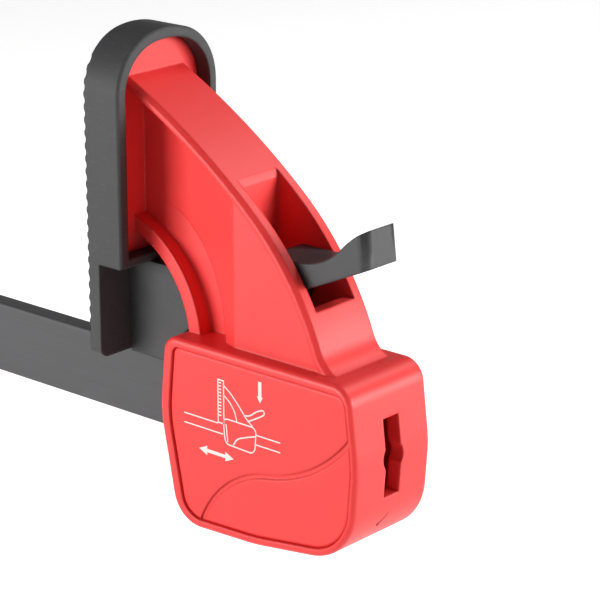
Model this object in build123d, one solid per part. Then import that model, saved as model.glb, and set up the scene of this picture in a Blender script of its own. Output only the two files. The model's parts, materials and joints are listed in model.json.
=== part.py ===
from build123d import *
import os
from math import cos, hypot, pi, radians, sin, sqrt, tan

# Quick release bar clamp: a flat steel bar carries two moulded heads. The release head has a thumb
# lever that frees its lock plates from the bar. The trigger head has a pistol grip and pumps the
# bar through itself. Millimetres. While it is drawn, x = 0 is the release jaw's face, the bar runs
# along x and z = 0 is the bar's lower edge. The files are written with the origin at that face's
# middle.

# Bar and its cross pins
BAR_H = 22.0
BAR_T = 6.0
BAR_EDGE = 0.8
BAR_PLAY = 0.2
BAR_TAIL = 26.0
OPENING = 150.0
PIN_R = 2.0
PIN_PROUD = 0.6
PIN_FROM_END = 7.0
PIN_BULGE_R = 4.2

# Jaw pads, the same moulding on both heads
JAW_HALF = 19.8
JAW_TOP = 116.0
JAW_CORNER_R = 17.0
JAW_CROWN_R = 30.0
PAD_DEPTH = 13.2
PAD_FACE = 4.4
PAD_WALL = 3.0
PAD_LIFT = 1.0
PAD_CUP_Z = 50.6
PAD_FLOOR = 2.6
PAD_TOE_R = 2.6
PAD_EDGE = 0.6
SHOE_HALF = 8.0
RIB_PITCH = 3.65
RIB_R = 2.0
RIB_DEPTH = 0.45
FIT = 0.1
GAP = 0.3

# Jaw plate and arm, as seen from the side
PLATE_T = 4.0
ARM_TOP_Z = 105.3
ARM_BEND = (53.2, 74.4)
ARM_BEND_DEG = 40.0
ARM_FOOT = (78.4, 39.2)
ARM_TOE_X = 83.4
ARM_HALF = 12.0
FLANGE_T = 2.5
FLANGE_EDGE = 1.2
ARCH_R = 31.1
ARCH_X = -1.9
ARCH_Z = 29.9
RIM_T = 4.2
RIM_HALF = 9.6
WEB_HALF = 5.0
CHANNEL_R = 36.9
CHANNEL_X = 6.1
CHANNEL_Z = 33.0
CREASE_X = 47.8
FAIRING_MID = (32.0, 6.9)
HOUSING_HALF = 11.5

# Box of the release head, as seen from the side
BOX_TOP = 33.8
BOX_FRONT_R = 5.0
BOX_REAR_R = 6.5
BOX_FRONT = 25.0
BOX_REAR = 91.8
BOX_MID_Z = 11.0
BOX_MID_FRONT = 22.7
BOX_MID_REAR = 94.6
BOX_END_R = 40.0
BOX_BELLY_R = 60.0
BOX_TOE_R = 10.0
BOX_HEEL_R = 17.5
BOX_HEEL = (92.6, -15.5)
BOX_BELLY = (58.0, -20.2)
BOX_TOE = (29.1, -21.3)
BOX_HALF = 15.8
BOX_EDGE = 1.5
BOX_WALL = 2.6
LEDGE_W = 1.8
COVER_T = 2.5
COVER_SHIFT = 1.0
COVER_IN = 0.4
COVER_EDGE = 0.6
GROOVE_R = 0.7
GROOVE_DEEP = 0.5
GROOVE_START = (93.5, 21.0)
GROOVE_BEND = (79.6, 7.7)
GROOVE_MIDDLE = (63.0, 1.4)
GROOVE_END = (38.6, -18.0)

# Thumb lever, its pocket and the lock plates
POCKET_HALF = 7.9
POCKET_FRONT = 46.7
POCKET_LIP_Z = 78.2
POCKET_LIP_DEG = 68.0
POCKET_BACK = 69.7
POCKET_SILL = 48.9
POCKET_FLOOR = 44.0
POCKET_SILL_R = 1.2
POCKET_FLOOR_R = 2.0
SHAFT_BACK = 62.5
LEVER_HALF = 7.1
LEVER_PIVOT = (57.2, 56.0)
LEVER_HUB_R = 5.0
LEVER_FLAT = 9.3
LEVER_DIP = (24.4, 11.6)
LEVER_CREST = (32.0, 17.7)
LEVER_END = (33.2, 7.5)
LEVER_UNDER = (13.9, -1.2)
LEVER_TIP_R = 1.6
LEVER_PIN_R = 2.0
LEVER_NOSE_R = 1.5
LEVER_NOSE = (1.0, -8.5)
PIN_RUN = 0.05
PLATE_TILT = 5.5
LOCK_T = 3.0
LOCK_HALF = 10.0
LOCK_TAB_HALF = 6.0
LOCK_LOW = -11.0
LOCK_SHOULDER = 5.0
LOCK_TAB_TOP = 49.5
LOCK_EDGE_R = 1.5
LOCK_STACK = 0.1
LOCK_SLOT_PLAY = 0.35
FULCRUM_RISE = 6.0
FULCRUM_R = 1.5
FULCRUM_GAP = 0.1
STOP_RIB_T = 4.0
STOP_RIB_CLEAR = 1.5
STOP_RIB_LOW = -1.5
SPRING_R = 3.5
SPRING_WIRE = 0.45
SPRING_TURNS = 6
COIL_RUNS = 12
SPRING_Z = -6.5
SPRING_SEAT_T = 3.0
SPRING_LENGTH = 19.0
SPRING_BOSS = 3.0
SPRING_SEAT_RIM = 1.0

# Trigger head, in distances back from its own jaw face
GRIP_HALF = 17.0
GRIP_WALL = 2.8
GRIP_REAR = 106.0
GRIP_REAR_SWELL = 0.8
GRIP_RISE = 13.5
GRIP_EDGE = 2.6
GRIP_TOP_R = 9.0
GRIP_REAR_R = 30.0
GRIP_HEEL = (98.0, -20.0)
GRIP_HEEL_R = 8.0
HANDLE_HALF = 15.0
HANDLE_EDGE = 6.0
HANDLE_ROOT = -6.0
HANDLE_NECK = (68.0, 97.5, -24.0)
HANDLE_NECK_R = 24.0
HANDLE_FRONT_R = 30.0
HANDLE_FRONT_LEAN = 2.0
HANDLE_LOW_REAR = (119.0, -98.0)
HANDLE_HEEL_R = 9.0
HANDLE_LOW_FRONT = (86.0, -104.0)
HANDLE_TOE_R = 7.0
TRIGGER_PIVOT = (39.0, 26.8)
TRIGGER_HUB_R = 5.4
TRIGGER_PIN_R = 2.5
TRIGGER_BOSS_T = 2.5
CHEEK_IN = 4.0
CHEEK_OUT = 8.0
CHEEK_SET_IN = 0.5
CHEEK_BACK = 1.0
CHEEK_ROOT = 6.0
CHEEK_SHOULDER = 2.0
CHEEK_DIP = 3.0
TRIGGER_HALF = 9.0
TRIGGER_EDGE = 1.8
TRIGGER_TOP = -17.0
TRIGGER_FRONT = 34.0
TRIGGER_REAR = 49.0
TRIGGER_HOLLOW = 2.0
TRIGGER_TIP = (30.5, -92.0)
TRIGGER_TOE = (7.0, -3.0)
TRIGGER_TOE_END = (3.5, 6.0)
TRIGGER_NOSE = (43.5, -6.0)
TRIGGER_NOSE_R = 2.5
MOUTH_FRONT = 31.5
MOUTH_REAR = 66.0
MOUTH_DEEP = 6.0
MOUTH_PLAY = 0.6
DRIVE_T = 4.0
DRIVE_HALF = 13.4
DRIVE_LOW = -9.0
DRIVE_RISE = 3.0
DRIVE_EDGE_R = 2.0
DRIVE_WIRE = 0.8
DRIVE_TURNS = 4
SPRING_RIB_X = 72.0
SPRING_RIB_T = 3.0
BRAKE_T = 3.5
BRAKE_TILT = 6.0
BRAKE_PIVOT = (88.0, -6.0)
BRAKE_HALF = 9.0
BRAKE_LOW = -10.0
BRAKE_SHOULDER = 8.0
BRAKE_TAB_RISE = 11.5
BRAKE_TAB_HALF = 6.0
BRAKE_MOUTH = (81.5, 94.0)
CAP_WALL = 2.2
CAP_GAP = 3.0
CAP_EDGE_R = 2.0
BRAKE_SPRING_RISE = 2.0
BRAKE_SPRING_SEAT = 100.0
BRAKE_TURNS = 4
SCREW_R = 1.6
SCREW_HEAD_R = 2.8
SCREW_HEAD_T = 2.0
SCREW_SUNK = 3.0
SCREW_TIP = 8.0
BOSS_R = 3.1
SCREW_SPOTS = [
    (30.2, 27.5, GRIP_HALF),
    (97.5, -7.0, GRIP_HALF),
    (56.0, 52.0, HOUSING_HALF),
    (92.0, -64.0, HANDLE_HALF),
]
GRIP_PAD_T = 2.2
GRIP_PAD_PROUD = 0.6
GRIP_PAD_TOP = -32.0
GRIP_PAD_LOW = -90.0
GRIP_PAD_SET_TOP = 22.0
GRIP_PAD_SET_LOW = 16.0
GRIP_PAD_PAST = 9.0
GRIP_PAD_CORNER_R = 4.0


# Worked out from the sizes above
jaw_middle = (BAR_H + PAD_LIFT + JAW_TOP) / 2
plate_rear = PAD_FACE + PLATE_T
plate_low = PAD_CUP_Z + PAD_FLOOR
cover_face = BOX_HALF - COVER_IN
ledge_y = cover_face - COVER_T
fulcrum_z = BAR_H + FULCRUM_RISE
lock_arm = LEVER_PIVOT[1] + LEVER_NOSE[1] - fulcrum_z
nose_x = LEVER_PIVOT[0] + LEVER_NOSE[0]
nose_left = nose_x - LEVER_NOSE_R / cos(radians(PLATE_TILT)) - 1.5 * FULCRUM_GAP
lock_face = nose_left - LOCK_T * cos(radians(PLATE_TILT)) - lock_arm * sin(radians(PLATE_TILT))
lock_pitch = LOCK_T + LOCK_STACK
stop_front = lock_face + 2 * lock_pitch + STOP_RIB_CLEAR
stop_rear = stop_front + STOP_RIB_T
stop_pin_x = stop_rear + PIN_R + FIT
bar_end = stop_pin_x + PIN_FROM_END
bar_start = -OPENING - GRIP_REAR - BAR_TAIL
slot_t = BAR_T + 2 * BAR_PLAY
bar_mid = BAR_H / 2
spring_drop = (fulcrum_z - SPRING_Z) * sin(radians(PLATE_TILT))
spring_start = lock_face + 2 * lock_pitch - spring_drop + FIT
inner_half = GRIP_HALF - GRIP_WALL
drive_face = TRIGGER_NOSE[0] + TRIGGER_NOSE_R + BAR_PLAY
drive_spring_r = hypot(BAR_H, BAR_T) / 2 + BAR_PLAY + 2 * DRIVE_WIRE
brake_spring_z = BAR_H + SPRING_R + BRAKE_SPRING_RISE
grip_top = BAR_H + GRIP_RISE
brake_top = grip_top + BRAKE_TAB_RISE
cap_low = grip_top + CAP_GAP


def side(face, half):
    """Extrude an outline of the side view to the same distance on both sides of the bar."""
    return extrude(Plane.XZ * face, amount=half, both=True)


def side_between(face, low, high):
    """Extrude an outline of the side view from y = low to y = high."""
    return extrude(Plane.XZ.offset(-high) * face, amount=high - low, dir=(0, -1, 0))


def across(x, z, radius, low, high):
    """A round bar that runs across, along y."""
    return side_between(Pos(x, z) * Circle(radius), low, high)


def block(x0, x1, y0, y1, z0, z1):
    """A plain block between its limits."""
    return Pos((x0 + x1) / 2, (y0 + y1) / 2, (z0 + z1) / 2) * Box(x1 - x0, y1 - y0, z1 - z0)


def rounded(corners):
    """A closed outline through (x, z, radius) corners, each rounded by its own radius."""
    points = [(x, z) for x, z, radius in corners]
    face = make_face(Polyline(*points, close=True))
    for x, z, radius in corners:
        if radius > 0:
            corner = face.vertices().sort_by_distance(Vector(x, z, 0))[0]
            face = fillet(corner, radius)
    return face


def coil(radius, wire, turns, start, length):
    """A compression spring about the x axis, bent from flat wire in short straight runs."""
    step = (length - 2 * wire) / (turns * COIL_RUNS)
    turn = 2 * pi / COIL_RUNS
    points = [
        (start + wire + i * step, radius * cos(i * turn), radius * sin(i * turn))
        for i in range(turns * COIL_RUNS + 1)
    ]
    path = Polyline(*points)
    section = Plane(origin=points[0], z_dir=path % 0) * RegularPolygon(wire, 4)
    return sweep(section, path=path, transition=Transition.RIGHT)


# Bar


def make_bar():
    """The flat steel bar with lightly rounded edges and a cross hole near each end."""
    length = bar_end - bar_start
    section = RectangleRounded(BAR_T, BAR_H, BAR_EDGE)
    bar = extrude(Plane.YZ.offset(bar_start) * Pos(0, bar_mid) * section, amount=length)
    for x in (stop_pin_x, bar_start + PIN_FROM_END):
        bar -= across(x, bar_mid, PIN_R, -BAR_T, BAR_T)
    return bar


def make_stop_pin(x):
    """A cross pin pressed through the bar that keeps a head from running off its end."""
    half = BAR_T / 2 + PIN_PROUD
    return across(x, bar_mid, PIN_R, -half, half)


# Jaw pads and the shared jaw


def jaw_outline(inset, low):
    """The jaw seen along the bar: straight sides under a flattened arch of three tangent arcs."""
    half = JAW_HALF - inset
    crown_z = JAW_TOP - JAW_CROWN_R
    corner_y = JAW_HALF - JAW_CORNER_R
    corner_z = crown_z + sqrt((JAW_CROWN_R - JAW_CORNER_R) ** 2 - corner_y ** 2)
    reach = (JAW_CROWN_R - inset) / (JAW_CROWN_R - JAW_CORNER_R)
    join_y = corner_y * reach
    join_z = crown_z + (corner_z - crown_z) * reach
    crown = ThreePointArc((join_y, join_z), (0, JAW_TOP - inset), (-join_y, join_z))
    right = TangentArc((half, corner_z), (join_y, join_z), tangent=(0, 1))
    left = TangentArc((-half, corner_z), (-join_y, join_z), tangent=(0, 1))
    sides = Polyline((-half, corner_z), (-half, low), (half, low), (half, corner_z))
    return make_face(Curve() + [crown, right, left, sides])


def jaw_slab(inset, low, x0, x1):
    """The jaw's outline, set in from its outer edge, between two places along the bar."""
    return extrude(Plane.YZ.offset(x0) * jaw_outline(inset, low), amount=x1 - x0)


def make_jaw_pad():
    """The rubber boot: a ribbed face, a cup round the jaw plate and a toe down to the bar."""
    pad_low = BAR_H + PAD_LIFT
    outer = jaw_slab(0, PAD_CUP_Z, 0, PAD_DEPTH)
    face = jaw_slab(0, pad_low, 0, PAD_FACE)
    toe = face.edges().filter_by(Axis.X).group_by(Axis.Z)[0]
    face = fillet(toe, PAD_TOE_R)
    boot = outer + face
    rear_rim = boot.faces().sort_by(Axis.X)[-1].edges()
    boot = chamfer(rear_rim, PAD_EDGE)
    boot -= jaw_slab(PAD_WALL, plate_low, PAD_FACE, PAD_DEPTH + 1)
    count = 2 * int((JAW_TOP - pad_low - 2 * RIB_PITCH) / (2 * RIB_PITCH))
    first = (pad_low + JAW_TOP - (count - 1) * RIB_PITCH) / 2
    for i in range(count):
        boot -= across(RIB_DEPTH - RIB_R, first + i * RIB_PITCH, RIB_R, -JAW_HALF - 1, JAW_HALF + 1)
    return boot


def make_jaw_plate():
    """The plate of the head that the rubber boot is pushed over."""
    return jaw_slab(PAD_WALL + FIT, plate_low + FIT, PAD_FACE, plate_rear)


def make_guide_shoe(front_outline):
    """The dark block that fills the arch and rides on the bar's upper edge."""
    low = BAR_H + GAP
    space = Pos(ARCH_X, ARCH_Z) * Circle(ARCH_R - GAP)
    middle = Pos((PAD_FACE + ARCH_R) / 2, (low + PAD_CUP_Z) / 2)
    frame = middle * Rectangle(ARCH_R - PAD_FACE, PAD_CUP_Z - low)
    return side((space & frame) - offset(front_outline, GAP), SHOE_HALF)


def arm_outline(box_top):
    """The arm from the side: a rear curve from the jaw plate down to the box, less the arch."""
    bend = Vector(*ARM_BEND)
    heading = Vector(cos(radians(ARM_BEND_DEG)), -sin(radians(ARM_BEND_DEG)))
    top = (PAD_FACE + FIT, ARM_TOP_Z)
    toe = (ARM_TOE_X, box_top)
    base = box_top - 2 * FLANGE_T
    upper = TangentArc(bend, top, tangent=heading * -1)
    lower = TangentArc(bend, ARM_FOOT, tangent=heading)
    hollow = TangentArc(ARM_FOOT, toe, tangent=lower % 1)
    rest = Polyline(toe, (ARM_TOE_X, base), (top[0], base), top)
    face = make_face(Curve() + [upper, lower, hollow, rest])
    return face - Pos(ARCH_X, ARCH_Z) * Circle(ARCH_R)


def arm_solid(outline):
    """Flange, thin web, arch rim, fairing and the raised housing at the rear of the arm."""
    core = offset(outline, -FLANGE_T / 2)
    inset = offset(outline, -FLANGE_T)
    arch = Pos(ARCH_X, ARCH_Z) * Circle(ARCH_R + RIM_T)
    channel = Pos(CHANNEL_X, CHANNEL_Z) * Circle(CHANNEL_R)
    behind = Pos((CREASE_X + ARM_TOE_X) / 2, JAW_TOP / 2) * Rectangle(ARM_TOE_X - CREASE_X, JAW_TOP)
    slab = side(outline, ARM_HALF)
    rear = [
        edge
        for edge in slab.faces().filter_by(Axis.Y).edges().filter_by(GeomType.CIRCLE)
        if edge.radius > CHANNEL_R
    ]
    slab = chamfer(rear, min(FLANGE_EDGE, FLANGE_T / 2))
    flange = slab - side(inset, ARM_HALF) - side(arch, ARM_HALF)
    web = side(core, WEB_HALF)
    rim = side(outline & arch, RIM_HALF)
    start = plate_rear + FLANGE_T
    swell = ThreePointArc((start, WEB_HALF), FAIRING_MID, (CREASE_X, HOUSING_HALF))
    closing = Polyline((CREASE_X, HOUSING_HALF), (CREASE_X, 0), (start, 0), (start, WEB_HALF))
    half_plan = make_face(Curve() + [swell, closing])
    plan = half_plan + mirror(half_plan, Plane.XZ)
    fairing = extrude(plan, amount=JAW_TOP) & side(core - channel - arch, ARM_HALF)
    housing = side(core & behind, HOUSING_HALF)
    return flange + web + rim + fairing + housing


# Release head


def box_outline():
    """The side view of the box: flat top, rounded corners and a shallow belly."""
    return rounded([
        (BOX_FRONT, BOX_TOP, BOX_FRONT_R),
        (BOX_REAR, BOX_TOP, BOX_REAR_R),
        (BOX_MID_REAR, BOX_MID_Z, BOX_END_R),
        (*BOX_HEEL, BOX_HEEL_R),
        (*BOX_BELLY, BOX_BELLY_R),
        (*BOX_TOE, BOX_TOE_R),
        (BOX_MID_FRONT, BOX_MID_Z, BOX_END_R),
    ])


def bar_slot(x0, x1):
    """The clear way that the bar runs in."""
    return block(x0, x1, -slot_t / 2, slot_t / 2, -BAR_PLAY, BAR_H + BAR_PLAY)


def cover_outline(inset):
    """The side view of the let-in cover, set in from the box and a little toward its rear."""
    return Pos(COVER_SHIFT, 0) * offset(box_outline(), -BOX_WALL - inset)


def make_head_body():
    """One red moulding: jaw plate, arm with the lever's pocket, and the box round the bar."""
    outline = box_outline()
    body = arm_solid(arm_outline(BOX_TOP)) + make_jaw_plate()
    box = side(outline, BOX_HALF)
    rims = box.faces().filter_by(Axis.Y)
    box = fillet(rims.edges(), BOX_EDGE)
    body += box
    body -= side(offset(outline, -BOX_WALL - LEDGE_W), ledge_y + 1)
    for low in (ledge_y, -BOX_HALF - 1):
        body -= side_between(cover_outline(0), low, low + BOX_HALF + 1 - ledge_y)
    inner = side(offset(outline, -BOX_WALL), ledge_y)
    body += inner & block(stop_front, stop_rear, -ledge_y, ledge_y, STOP_RIB_LOW, BOX_TOP)
    fulcrum_x = lock_face - FULCRUM_GAP - FULCRUM_R
    body += across(fulcrum_x, fulcrum_z, FULCRUM_R, -ledge_y, ledge_y)
    body += block(fulcrum_x - FULCRUM_R, fulcrum_x, -ledge_y, ledge_y, fulcrum_z - FULCRUM_R, BOX_TOP)
    seat = spring_start + SPRING_LENGTH
    body += inner & block(seat, seat + SPRING_SEAT_T, -ledge_y, ledge_y, BOX_TOE[1], SPRING_Z + SPRING_R)
    boss = Plane.YZ.offset(seat - SPRING_BOSS) * Pos(0, SPRING_Z) * Circle(SPRING_R - 2 * SPRING_WIRE - GAP)
    body += extrude(boss, amount=SPRING_BOSS + 1)
    lip_run = (JAW_TOP - POCKET_LIP_Z) / tan(radians(POCKET_LIP_DEG))
    pocket = rounded([
        (POCKET_FRONT, fulcrum_z, 0),
        (POCKET_FRONT, POCKET_LIP_Z, 0),
        (POCKET_FRONT - lip_run, JAW_TOP, 0),
        (BOX_REAR, JAW_TOP, 0),
        (BOX_REAR, POCKET_SILL, 0),
        (POCKET_BACK, POCKET_SILL, POCKET_SILL_R),
        (POCKET_BACK, POCKET_FLOOR, POCKET_FLOOR_R),
        (SHAFT_BACK, POCKET_FLOOR, 0),
        (SHAFT_BACK, fulcrum_z, 0),
    ])
    pocket_cut = side(pocket, POCKET_HALF)
    rib_kept = block(0, fulcrum_x, -BOX_HALF, BOX_HALF, 0, BOX_TOP)
    stop_kept = block(stop_front, BOX_REAR, -BOX_HALF, BOX_HALF, 0, BOX_TOP)
    body -= pocket_cut - rib_kept - stop_kept
    body -= bar_slot(BOX_FRONT - 5, BOX_REAR + 5)
    rear_bulge = Plane.YZ.offset(stop_rear) * Pos(0, bar_mid) * Circle(PIN_BULGE_R)
    body -= extrude(rear_bulge, amount=BOX_REAR + 5 - stop_rear)
    body -= across(*LEVER_PIVOT, LEVER_PIN_R, -HOUSING_HALF + FLANGE_T, HOUSING_HALF + 1)
    return body


def make_side_cover(near):
    """A flat cover let into the rim of the box, with one sweeping S-shaped groove."""
    outline = cover_outline(FIT)
    rise = ThreePointArc(GROOVE_START, GROOVE_BEND, GROOVE_MIDDLE)
    fall = TangentArc(GROOVE_MIDDLE, GROOVE_END, tangent=rise % 1)
    line = trace(rise, line_width=2 * GROOVE_R) + trace(fall, line_width=2 * GROOVE_R)
    line = line & outline
    cover = side_between(outline, ledge_y, cover_face)
    cover = chamfer(cover.faces().sort_by(Axis.Y)[-1].edges(), COVER_EDGE)
    cover -= side_between(line, cover_face - GROOVE_DEEP, cover_face + 1)
    return mirror(cover, Plane.XZ) if near else cover


def make_release_lever():
    """The thumb lever: a hub on its pin, a nose that pushes the lock plate and a rising tail."""
    x, z = LEVER_PIVOT
    dip_end, crest_end, end_low, under = [
        (x + dx, z + dz) for dx, dz in (LEVER_DIP, LEVER_CREST, LEVER_END, LEVER_UNDER)
    ]
    top = Line((x, z + LEVER_HUB_R), (x + LEVER_FLAT, z + LEVER_HUB_R))
    dip = TangentArc(top @ 1, dip_end, tangent=top % 1)
    crest = TangentArc(dip @ 1, crest_end, tangent=dip % 1)
    end = Polyline(crest_end, end_low, under, (x, z - LEVER_HUB_R), (x, z + LEVER_HUB_R))
    profile = make_face(Curve() + [top, dip, crest, end])
    nose = (x + LEVER_NOSE[0], z + LEVER_NOSE[1])
    leg = Polyline(
        (nose[0] - LEVER_NOSE_R, nose[1]),
        (nose[0] + LEVER_NOSE_R, nose[1]),
        (x + LEVER_HUB_R - 1, z),
        (nose[0] - LEVER_NOSE_R / 2, z),
        close=True,
    )
    profile += Pos(x, z) * Circle(LEVER_HUB_R)
    profile += make_face(leg)
    profile += Pos(*nose) * Circle(LEVER_NOSE_R)
    lever = side(profile, LEVER_HALF)
    tail = lever.edges().filter_by(Axis.Y, reverse=True).group_by(Axis.X)[-1]
    lever = fillet(tail, LEVER_TIP_R)
    lever -= across(x, z, LEVER_PIN_R + PIN_RUN, -LEVER_HALF - 1, LEVER_HALF + 1)
    return lever


def tilted(part, pivot, degrees):
    """Turn a part about a line across the bar, through the pivot of the side view."""
    x, z = pivot
    return Pos(x, 0, z) * Rot(0, degrees, 0) * Pos(-x, 0, -z) * part


def make_lock_plate(index):
    """A steel plate with a slot for the bar; the first one has a tab for the lever's nose."""
    x0 = lock_face + index * lock_pitch
    top = LOCK_TAB_TOP if index == 0 else BAR_H + LOCK_SHOULDER
    plate = block(x0, x0 + LOCK_T, -LOCK_HALF, LOCK_HALF, LOCK_LOW, BAR_H + LOCK_SHOULDER)
    plate = fillet(plate.edges().filter_by(Axis.X), LOCK_EDGE_R)
    if index == 0:
        tab = block(x0, x0 + LOCK_T, -LOCK_TAB_HALF, LOCK_TAB_HALF, BAR_H, top)
        tab_top = tab.edges().filter_by(Axis.X).group_by(Axis.Z)[-1]
        plate += fillet(tab_top, LOCK_EDGE_R)
    low, high = FIT - LOCK_SLOT_PLAY, BAR_H + FIT + LOCK_SLOT_PLAY
    slot = block(x0 - 1, x0 + LOCK_T + 1, -slot_t / 2, slot_t / 2, low, high)
    return tilted(plate - slot, (x0, fulcrum_z), PLATE_TILT)


def make_lever_pin():
    """The lever's steel pin, pushed into the arm from the far side."""
    return across(*LEVER_PIVOT, LEVER_PIN_R, -HOUSING_HALF + FLANGE_T, HOUSING_HALF - GAP)


def make_lock_spring():
    """The small compression spring under the bar that keeps the lock plates tilted."""
    spring = coil(SPRING_R - SPRING_WIRE, SPRING_WIRE, SPRING_TURNS, spring_start, SPRING_LENGTH)
    return Pos(0, 0, SPRING_Z) * spring


# Trigger head


def housing_outline():
    """The side view of the mechanism's housing round the bar."""
    return rounded([
        (BOX_FRONT, grip_top, BOX_FRONT_R),
        (GRIP_REAR, grip_top, GRIP_TOP_R),
        (GRIP_REAR + GRIP_REAR_SWELL, BOX_MID_Z, GRIP_REAR_R),
        (*GRIP_HEEL, GRIP_HEEL_R),
        (*BOX_TOE, BOX_TOE_R),
        (BOX_MID_FRONT, BOX_MID_Z, BOX_END_R),
    ])


def handle_outline():
    """The side view of the pistol grip below the housing."""
    front, rear, neck = HANDLE_NECK
    return rounded([
        (front, HANDLE_ROOT, 0),
        (rear, HANDLE_ROOT, 0),
        (rear, neck, HANDLE_NECK_R),
        (*HANDLE_LOW_REAR, HANDLE_HEEL_R),
        (*HANDLE_LOW_FRONT, HANDLE_TOE_R),
        (front + HANDLE_FRONT_LEAN, neck, HANDLE_FRONT_R),
    ])


def handle_slab(grow):
    """The handle with its rounded edges, grown outward by a little."""
    slab = side(offset(handle_outline(), grow) if grow else handle_outline(), HANDLE_HALF + grow)
    return fillet(slab.faces().filter_by(Axis.Y).edges(), HANDLE_EDGE)


def make_handle_grip():
    """The soft inlay wrapped round the handle's back."""
    past = HANDLE_LOW_REAR[0] + GRIP_PAD_PAST
    window = rounded([
        (HANDLE_NECK[0] + GRIP_PAD_SET_TOP, GRIP_PAD_TOP, GRIP_PAD_CORNER_R),
        (past, GRIP_PAD_TOP, 0),
        (past, GRIP_PAD_LOW, 0),
        (HANDLE_LOW_FRONT[0] + GRIP_PAD_SET_LOW, GRIP_PAD_LOW, GRIP_PAD_CORNER_R),
    ])
    skin = handle_slab(GRIP_PAD_PROUD) - handle_slab(-GRIP_PAD_T)
    return skin & side(window, GRIP_HALF)


def make_trigger_shells(grip_pad):
    """The trigger head's moulding, split along the bar; it is turned round later, near with far."""
    housing = side(housing_outline(), GRIP_HALF)
    housing = chamfer(housing.faces().filter_by(Axis.Y).edges(), GRIP_EDGE)
    body = arm_solid(arm_outline(grip_top)) + make_jaw_plate()
    body += housing
    body += handle_slab(0)
    inner = side(offset(housing_outline(), -GRIP_WALL), inner_half)
    body -= inner
    spring_rib_end = SPRING_RIB_X + SPRING_RIB_T
    body += inner & block(SPRING_RIB_X, spring_rib_end, -inner_half, inner_half, GRIP_HEEL[1], grip_top)
    edge_x = BRAKE_PIVOT[0] - FULCRUM_GAP - FULCRUM_R
    body += across(edge_x, BRAKE_PIVOT[1], FULCRUM_R, -inner_half, inner_half)
    body += inner & block(edge_x - FULCRUM_R, edge_x, -inner_half, inner_half, GRIP_HEEL[1], BRAKE_PIVOT[1])
    seat_half = SPRING_R + SPRING_SEAT_RIM
    seat_low = brake_spring_z - seat_half
    body += inner & block(BRAKE_SPRING_SEAT, GRIP_REAR, -seat_half, seat_half, seat_low, grip_top)
    for x, z, half in SCREW_SPOTS:
        body += across(x, z, BOSS_R, -min(half, inner_half), min(half, inner_half))
    for low in (CHEEK_OUT + GAP, -inner_half):
        high = low + inner_half - CHEEK_OUT - GAP
        body += across(*TRIGGER_PIVOT, TRIGGER_PIN_R + TRIGGER_BOSS_T, low, high)
    mouth_half = TRIGGER_HALF + MOUTH_PLAY
    body -= block(MOUTH_FRONT, MOUTH_REAR, -mouth_half, mouth_half, BOX_TOE[1] - 5, TRIGGER_TOP + MOUTH_DEEP)
    tab_half = BRAKE_TAB_HALF + MOUTH_PLAY
    body -= block(*BRAKE_MOUTH, -tab_half, tab_half, grip_top - 2 * GRIP_WALL, grip_top + 1)
    body -= bar_slot(BOX_FRONT - 5, GRIP_REAR + 5)
    body -= across(*TRIGGER_PIVOT, TRIGGER_PIN_R, -inner_half - GAP, inner_half + GAP)
    for x, z, half in SCREW_SPOTS:
        body -= across(x, z, SCREW_HEAD_R + FIT, -half - 1, -half + SCREW_SUNK)
        body -= across(x, z, SCREW_R, -half, SCREW_TIP)
    body -= grip_pad
    low_y = split(body, bisect_by=Plane.XZ, keep=Keep.TOP)
    high_y = split(body, bisect_by=Plane.XZ, keep=Keep.BOTTOM)
    return low_y, high_y


def make_trigger_screws():
    """Four sunk screws that hold the two halves together, one group of solids."""
    screws = []
    for x, z, half in SCREW_SPOTS:
        seat = -half + SCREW_SUNK
        head = across(x, z, SCREW_HEAD_R, seat - SCREW_HEAD_T, seat)
        screws.append(head + across(x, z, SCREW_R, seat, SCREW_TIP))
    return Compound(children=screws)


def make_trigger():
    """The moulded trigger: a finger bow below and two cheeks that straddle the bar."""
    x, z = TRIGGER_PIVOT
    tip_x, tip_z = TRIGGER_TIP
    hollow = (TRIGGER_FRONT + TRIGGER_HOLLOW, (TRIGGER_TOP + tip_z) / 2)
    front = ThreePointArc((TRIGGER_FRONT, TRIGGER_TOP), hollow, TRIGGER_TIP)
    toe_low = (tip_x + TRIGGER_TOE[0], tip_z + TRIGGER_TOE[1])
    toe_end = (TRIGGER_REAR - TRIGGER_TOE_END[0], tip_z + TRIGGER_TOE_END[1])
    toe = ThreePointArc(TRIGGER_TIP, toe_low, toe_end)
    rest = Polyline(toe @ 1, (TRIGGER_REAR, TRIGGER_TOP), (TRIGGER_FRONT, TRIGGER_TOP))
    bow = side(make_face(Curve() + [front, toe, rest]), TRIGGER_HALF)
    bow = chamfer(bow.faces().filter_by(Axis.Y).edges(), TRIGGER_EDGE)
    outer = x - TRIGGER_HUB_R + CHEEK_SET_IN
    inner = TRIGGER_NOSE[0] + CHEEK_BACK
    root = TRIGGER_TOP - CHEEK_ROOT
    cheek = make_face(Polyline(
        (outer, z),
        (TRIGGER_FRONT, root),
        (TRIGGER_REAR - CHEEK_SET_IN, root),
        (TRIGGER_REAR - CHEEK_SET_IN, TRIGGER_TOP - CHEEK_SHOULDER),
        (inner, DRIVE_LOW - CHEEK_DIP),
        (inner, z),
        close=True,
    ))
    cheek += Pos(x, z) * Circle(TRIGGER_HUB_R)
    cheek += Pos(*TRIGGER_NOSE) * Circle(TRIGGER_NOSE_R)
    trigger = bow
    for low in (CHEEK_IN, -CHEEK_OUT):
        trigger += side_between(cheek, low, low + CHEEK_OUT - CHEEK_IN)
    return trigger - across(x, z, TRIGGER_PIN_R + PIN_RUN, -TRIGGER_HALF - 1, TRIGGER_HALF + 1)


def make_trigger_pin():
    """The steel pin that the trigger swings on, held in both shells."""
    return across(*TRIGGER_PIVOT, TRIGGER_PIN_R, -inner_half - GAP, inner_half + GAP)


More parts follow.
